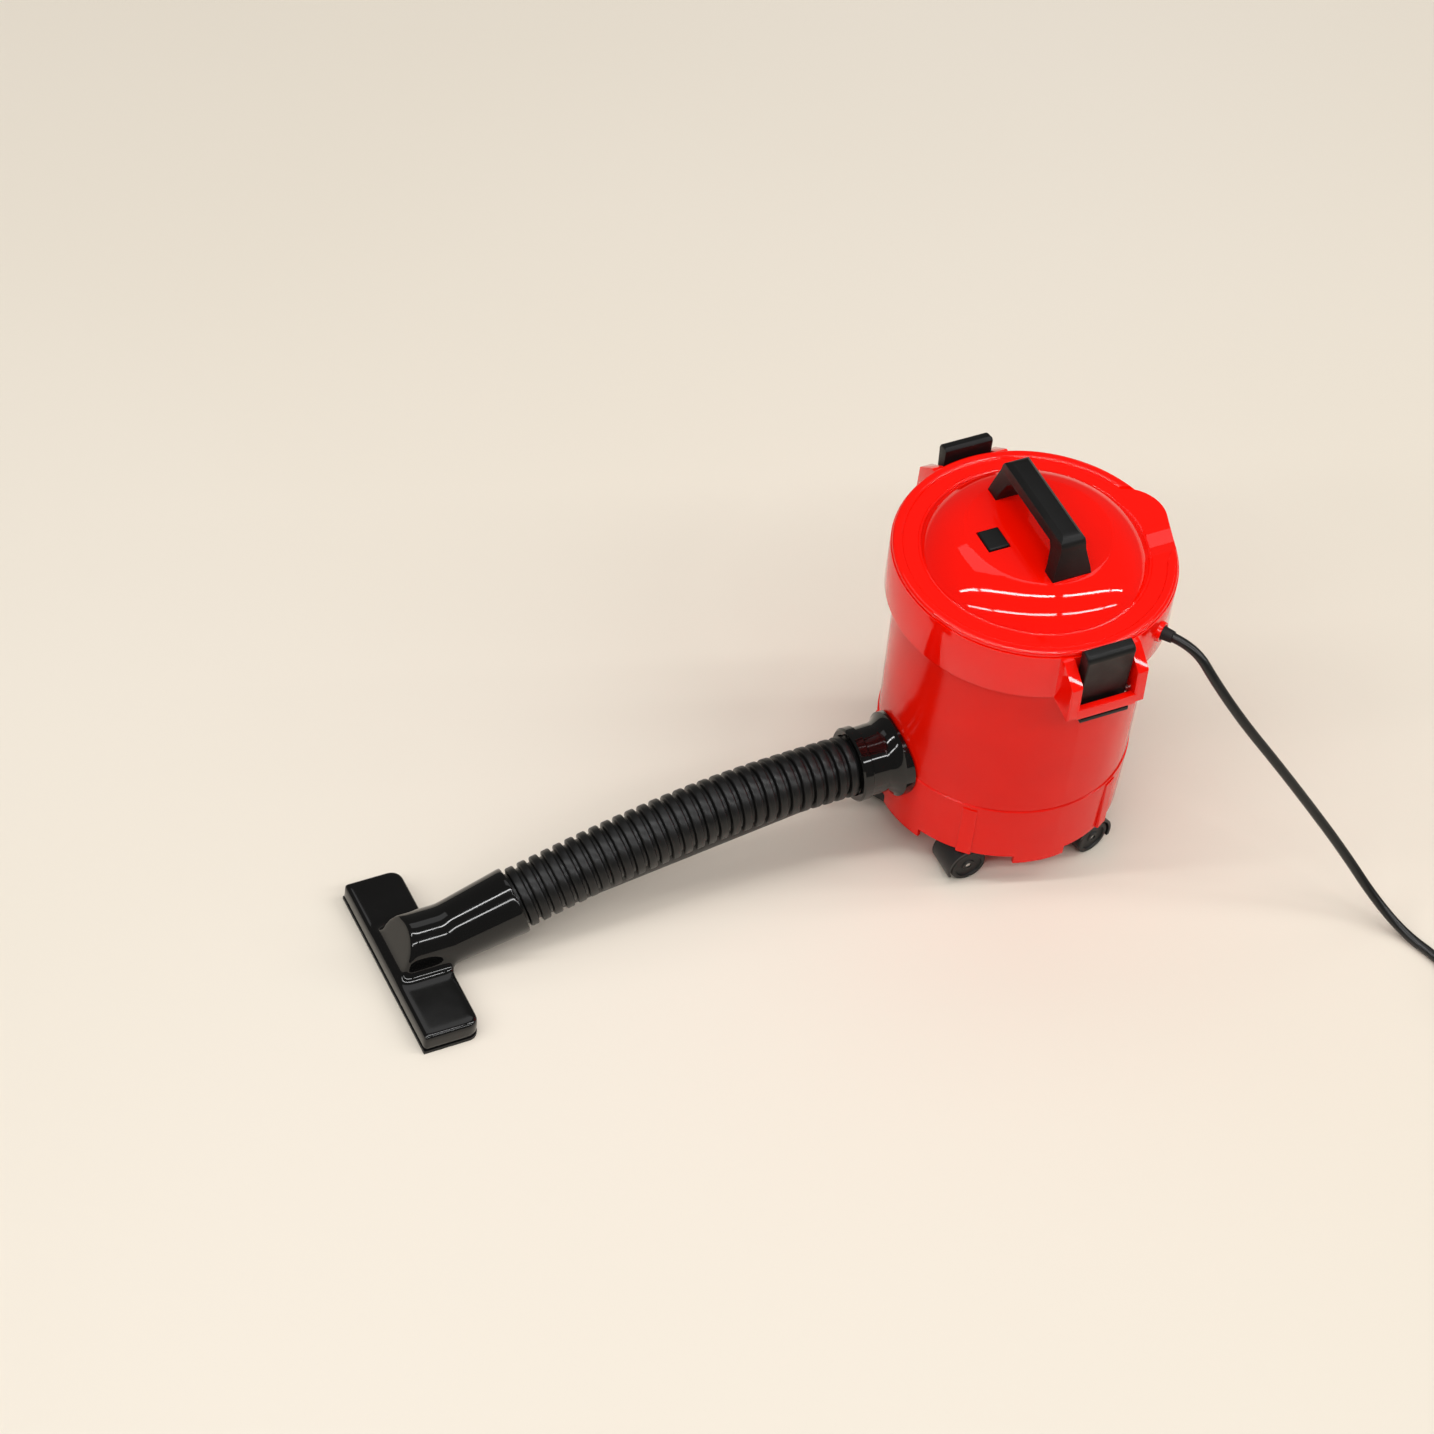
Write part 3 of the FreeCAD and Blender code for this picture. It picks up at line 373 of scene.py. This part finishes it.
def ramp(tree, fac, low, high, start=0.3, end=0.7):
    """Two-colour ramp over a factor."""
    node = tree.nodes.new("ShaderNodeValToRGB")
    node.color_ramp.elements[0].position = start
    node.color_ramp.elements[1].position = end
    node.color_ramp.elements[0].color = (*low, 1)
    node.color_ramp.elements[1].color = (*high, 1)
    tree.links.new(fac, node.inputs["Fac"])
    return node.outputs["Color"]


def grey(value):
    return (value, value, value)


def bump(tree, shader, layers):
    """Chain of bumps: (height socket, strength, distance in mm)."""
    previous = None
    for height, strength, distance in layers:
        node = tree.nodes.new("ShaderNodeBump")
        node.inputs["Strength"].default_value = strength
        node.inputs["Distance"].default_value = distance * MM
        tree.links.new(height, node.inputs["Height"])
        if previous:
            tree.links.new(previous, node.inputs["Normal"])
        previous = node.outputs["Normal"]
    tree.links.new(previous, shader.inputs["Normal"])


def plastic(name, colour, darker, rough, grain, grain_depth, wave_depth, ior_level):
    """Moulded plastic: slow colour drift, uneven gloss, fine grain and a faint moulding wave."""
    material, tree, shader = nodes_of(name)
    drift = ramp(tree, noise(tree, DRIFT_WAVES, 2), darker, colour)
    tree.links.new(drift, shader.inputs["Base Color"])
    gloss = ramp(tree, noise(tree, GLOSS_WAVES, 6), grey(rough[0]), grey(rough[1]))
    tree.links.new(gloss, shader.inputs["Roughness"])
    shader.inputs["Specular IOR Level"].default_value = ior_level
    layers = [(noise(tree, grain, 3), GRAIN_STRENGTH, grain_depth)]
    if wave_depth:
        layers.append((noise(tree, MOULDING_WAVES, 1), MOULDING_STRENGTH, wave_depth))
    bump(tree, shader, layers)
    return material


def metal(name, colour, rough, stretch=(1, 1, 1)):
    """Drawn or plated metal with fine lines along one direction."""
    material, tree, shader = nodes_of(name)
    darker = tuple(c * 0.82 for c in colour)
    drift = ramp(tree, noise(tree, 700, 5, stretch), darker, colour)
    tree.links.new(drift, shader.inputs["Base Color"])
    gloss = ramp(tree, noise(tree, 1500, 4, stretch), grey(rough * 0.7), grey(rough * 1.3))
    tree.links.new(gloss, shader.inputs["Roughness"])
    shader.inputs["Metallic"].default_value = 1.0
    bump(tree, shader, [(noise(tree, 1800, 3, stretch), 0.2, 0.01)])
    return material


def foam(name):
    """Open-cell foam: painted shade darkens the cell hollows, with lighter struts between them."""
    material, tree, shader = nodes_of(name)
    place = tree.nodes.new("ShaderNodeTexCoord")
    cells = tree.nodes.new("ShaderNodeTexVoronoi")
    cells.inputs["Scale"].default_value = 1400
    tree.links.new(place.outputs["Object"], cells.inputs["Vector"])
    # painted shade: the cell hollows, where the bump below sinks, are coloured darker than the
    # struts
    tree.links.new(ramp(tree, cells.outputs["Distance"], grey(0.02), grey(0.10), 0.15, 0.6),
                   shader.inputs["Base Color"])
    shader.inputs["Roughness"].default_value = 0.95
    bump(tree, shader, [(cells.outputs["Distance"], 0.9, 0.3)])
    return material


RED = (0.86, 0.007, 0.001)
DEEP_RED = (0.78, 0.006, 0.001)
LID_RED = (0.95, 0.004, 0.0)
BRIGHT_RED = (0.90, 0.004, 0.0)
LEAD_RED = (0.45, 0.02, 0.02)
DARK_LEAD_RED = (0.35, 0.015, 0.015)
# for each slot: name, colour, darker colour, roughness range, grain in waves a metre,
# depths of the grain and of the moulding wave in mm, specular level
PLASTICS = {
    "drum_red": ("red_drum_plastic", RED, DEEP_RED, (0.13, 0.19), 2600, 0.003, 0.03, 0.22),
    "lid_red": ("red_lid_plastic", LID_RED, BRIGHT_RED, (0.03, 0.05), 2600, 0.001, 0.01, 0.5),
    "black_satin": (
        "black_satin_plastic", grey(0.006), grey(0.004), (0.36, 0.48), 3200, 0.02, 0, 0.26),
    "black_gloss": (
        "black_gloss_plastic", grey(0.004), grey(0.003), (0.06, 0.10), 2600, 0.0004, 0.01, 0.45),
    "hose_black": ("hose_plastic", grey(0.006), grey(0.004), (0.32, 0.44), 2400, 0.01, 0, 0.35),
    "caster_grey": (
        "caster_plastic", grey(0.016), grey(0.011), (0.34, 0.46), 3200, 0.02, 0, 0.4),
    "roller_black": (
        "roller_plastic", grey(0.009), grey(0.007), (0.40, 0.55), 3200, 0.02, 0, 0.35),
    "grey_plastic": (
        "inner_grey_plastic", grey(0.30), grey(0.25), (0.42, 0.55), 2800, 0.02, 0, 0.5),
    "rubber_black": (
        "soft_black_rubber", grey(0.012), grey(0.009), (0.55, 0.70), 3600, 0.03, 0, 0.3),
    "cord_black": ("cord_jacket", grey(0.007), grey(0.005), (0.28, 0.38), 3000, 0.015, 0, 0.45),
    "lead_red": ("lead_insulation", LEAD_RED, DARK_LEAD_RED, (0.3, 0.4), 3000, 0.01, 0, 0.5),
    "tongue_white": (
        "white_insulator", grey(0.78), grey(0.70), (0.40, 0.50), 3000, 0.01, 0, 0.5),
}
MATERIALS = {slot: plastic(*row) for slot, row in PLASTICS.items()}
MATERIALS["steel"] = metal("bright_steel", (0.62, 0.61, 0.60), 0.24, (1, 1, 6))
MATERIALS["zinc"] = metal("zinc_plate", (0.55, 0.55, 0.52), 0.32)
MATERIALS["foam"] = foam("filter_foam_material")
SLOTS = {row["node"]: row["material_slot"] for row in frame["record"]["subparts"]}


def dress_cad_nodes():
    """Each CAD node takes its slot's procedural material."""
    for name, obj in frame["nodes"].items():
        for slot in obj.material_slots:
            slot.material = MATERIALS[SLOTS[name]]


def stand_in(node, mesh, suffix="_finished"):
    """A finished mesh takes the CAD node's place, body and slot."""
    body = frame["nodes"][node]["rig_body"]
    slot = SLOTS[node]
    return piece(node + suffix, mesh, body, (node,), MATERIALS[slot])


# ---- moulded pieces (mm) ----
BEVELS = {
    "handle": 0.5,
    "latch_lever_right": 0.35,
    "latch_lever_left": 0.35,
    "usb_plug_body": 0.2,
    "usb_plug_shell": 0.08,
    "switch_button": 0.15,
    "head_band": 0.22,
}
NOZZLE_VOXEL = 0.25
NOZZLE_SOFTENING = 60         # rounds of smoothing
NOZZLE_FILL = 1.9             # size of the blend between its neck and its head


def make_finished():
    """Moulded pieces with rounded edges, in place of the plain CAD ones."""
    finished = {node: stand_in(node, bevelled(node, width)) for node, width in BEVELS.items()}
    nozzle = moulded("nozzle_body", NOZZLE_VOXEL, NOZZLE_SOFTENING, NOZZLE_FILL)
    finished["nozzle_body"] = stand_in("nozzle_body", nozzle)
    return finished


# ---- hose (mm) ----
HOSE_R = 6.65
HOSE_GROOVE_R = 5.7
HOSE_PITCH = 2.8
HOSE_BORE_R = 5.0
HOSE_SIDES = 64
# one rib's outline: share of the pitch, share of the height
RIB = [
    (0.00, 0.00), (0.20, 0.00), (0.26, 0.45), (0.29, 0.80), (0.34, 0.95),
    (0.40, 1.00), (0.80, 1.00), (0.86, 0.95), (0.91, 0.80), (0.94, 0.45),
]


def make_hose():
    """Ribbed hose along its route."""
    line = spline_points("hose_line", HOSE_ROUTE, 40)
    length = distances(line)[-1]
    ribs = round(length / (HOSE_PITCH * MM))
    pitch = length / ribs
    stations, radii = [], []
    for i in range(ribs):
        for part, height in RIB:
            stations.append((i + part) * pitch)
            radii.append((HOSE_GROOVE_R + (HOSE_R - HOSE_GROOVE_R) * height) * MM)
    stations.append(length)
    radii.append(HOSE_GROOVE_R * MM)
    points = resample(line, stations)
    mesh = tube_mesh("hose_ribbed", points, circle_section(HOSE_SIDES), radii, HOSE_BORE_R * MM)
    smooth(mesh, 50)
    hose = stand_in("hose_tube", mesh, "_ribbed")


# ---- USB cord ----
CORD_SIDES = 20
CORD_GROOVE_DEPTH = 0.16      # share of the radius, on two opposite sides
CORD_GROOVE_REACH = 0.35      # sine of the angle that half a groove spans


def cord_section():
    """Round section with a shallow groove along two sides, as a two-core lead has."""
    section = []
    for k in range(CORD_SIDES):
        angle = math.tau * k / CORD_SIDES
        nearness = max(0.0, 1 - abs(math.sin(angle)) / CORD_GROOVE_REACH)
        section.append((1.0 - CORD_GROOVE_DEPTH * nearness, angle))
    return section


def make_cord():
    """USB lead from the head to its plug."""
    route = CORD_ROUTE + coil_points() + TAIL_ROUTE
    line = spline_points("usb_line", route, 8)
    mesh = tube_mesh("usb_cord_line", line, cord_section(), [CORD_R] * len(line))
    smooth(mesh, 60)
    cord = piece("usb_cord_line", mesh, None, (), MATERIALS["cord_black"])
    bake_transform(cord)
    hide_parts("usb_cord", "usb_cord_coil", "usb_cord_tail")
    length = distances(line)[-1]
    print("usb cord length", length)


# ---- stage ----
FLOOR_HALF = 3.0              # metres
FLOOR_COLOURS = ((0.80, 0.73, 0.62), (0.83, 0.76, 0.66))


def make_floor():
    """Pale cream desk."""
    mesh = bpy.data.meshes.new("floor")
    half = FLOOR_HALF
    corners = [(-half, -half, 0), (half, -half, 0), (half, half, 0), (-half, half, 0)]
    mesh.from_pydata(corners, [], [(0, 1, 2, 3)])
    floor = bpy.data.objects.new("floor", mesh)
    scene.collection.objects.link(floor)
    material, tree, shader = nodes_of("floor_cream")
    tree.links.new(ramp(tree, noise(tree, 3, 2), *FLOOR_COLOURS), shader.inputs["Base Color"])
    shader.inputs["Roughness"].default_value = 0.65
    shader.inputs["Specular IOR Level"].default_value = 0.2
    mesh.materials.append(material)


def tube_lamp(name, place, back, along, width, length, power):
    """Rectangular lamp at a place, its back and its length along the given directions."""
    data = bpy.data.lights.new(name, "AREA")
    data.shape = "RECTANGLE"
    data.size, data.size_y = width, length
    data.energy = power
    light = bpy.data.objects.new(name, data)
    scene.collection.objects.link(light)
    turn = Matrix((along.cross(back), along, back)).transposed().to_4x4()
    light.matrix_world = Matrix.Translation(place) @ turn


def make_lights():
    """Rows of ceiling tubes, which draw the streaks on the gloss, a soft panel, and soft fill."""
    world = bpy.data.worlds.new("studio")
    world.use_nodes = True
    background = world.node_tree.nodes["Background"]
    background.inputs["Color"].default_value = (*WORLD_COLOUR, 1)
    background.inputs["Strength"].default_value = WORLD_STRENGTH
    scene.world = world
    middle = Vector(LAMP_TARGET)
    along = direction(CAM_AZIMUTH + 90 + LAMP_TURN, 0)
    for row, (elevation, width, power, first, count) in enumerate(LAMP_ROWS):
        offset = direction(CAM_AZIMUTH, elevation) * LAMP_DISTANCE
        back = (offset - along * offset.dot(along)).normalized()
        for i in range(count):
            place = middle + offset + along * (first + i * (LAMP_LENGTH + LAMP_GAP))
            tube_lamp("tube_%d_%d" % (row, i), place, back, along, width, LAMP_LENGTH, power)


def use_plain_colours():
    """Colours as they are, without a film look."""
    scene.view_settings.view_transform = "Standard"


make_camera()
make_floor()
make_lights()
use_plain_colours()
dress_cad_nodes()
FINISHED = make_finished()
make_hose()
make_cord()
